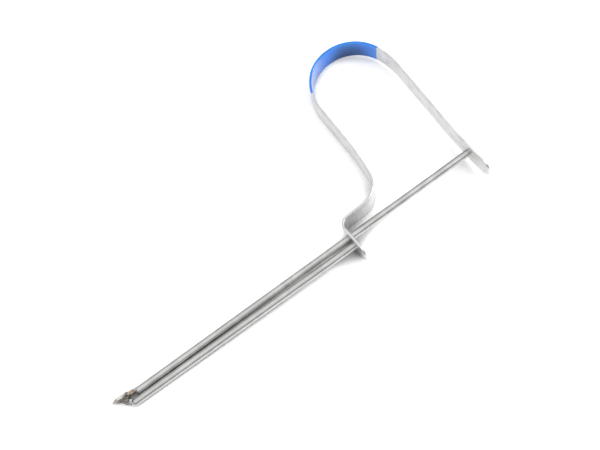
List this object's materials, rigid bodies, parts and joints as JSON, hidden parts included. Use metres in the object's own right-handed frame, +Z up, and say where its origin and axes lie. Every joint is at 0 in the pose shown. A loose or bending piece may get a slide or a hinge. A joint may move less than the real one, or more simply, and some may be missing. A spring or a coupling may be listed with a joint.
{
  "type": "ear hook",
  "caption": "Fine ear hook with a squeezed spring-bow handle, long side-by-side rods and a small pointed finger that bends at the tip.",
  "frame": {"origin": "on the plane that the instrument lies on, at the foot plate's lower edge, right below the drive rod's axis", "axes": "+X along the drive rod from the tip to the handle, +Y from the rods towards the bow, +Z up, across the strip"},
  "size_m": [0.141, 0.07, 0.0076],
  "materials": {
    "strip_steel": "satin",
    "rod_steel": "satin",
    "tip_steel": "satin"
  },
  "bodies": {
    "handle": {"spring_bow": "strip_steel", "fixed_rod": "rod_steel", "pivot_pin": "tip_steel"},
    "plunger": {"drive_rod": "rod_steel", "drive_pin": "tip_steel"},
    "finger": {"hook_finger": "tip_steel"}
  },
  "joints": [
    {"name": "squeeze", "type": "slide", "parent": "handle", "child": "plunger", "axis": [-1, 0, 0], "range_m": [0, 0.0028], "stiffness_N_per_m": 2000, "deforming": ["spring_bow"]},
    {"name": "finger_bend", "type": "hinge", "parent": "handle", "child": "finger", "pos_m": [-0.0863, -0.00075, 0.0038], "axis": [0, 0, 1], "range_deg": [0, 82.4]}
  ],
  "couplings": [
    {"joint": "finger_bend", "follows": "squeeze", "rad_per_m": 513.4}
  ]
}
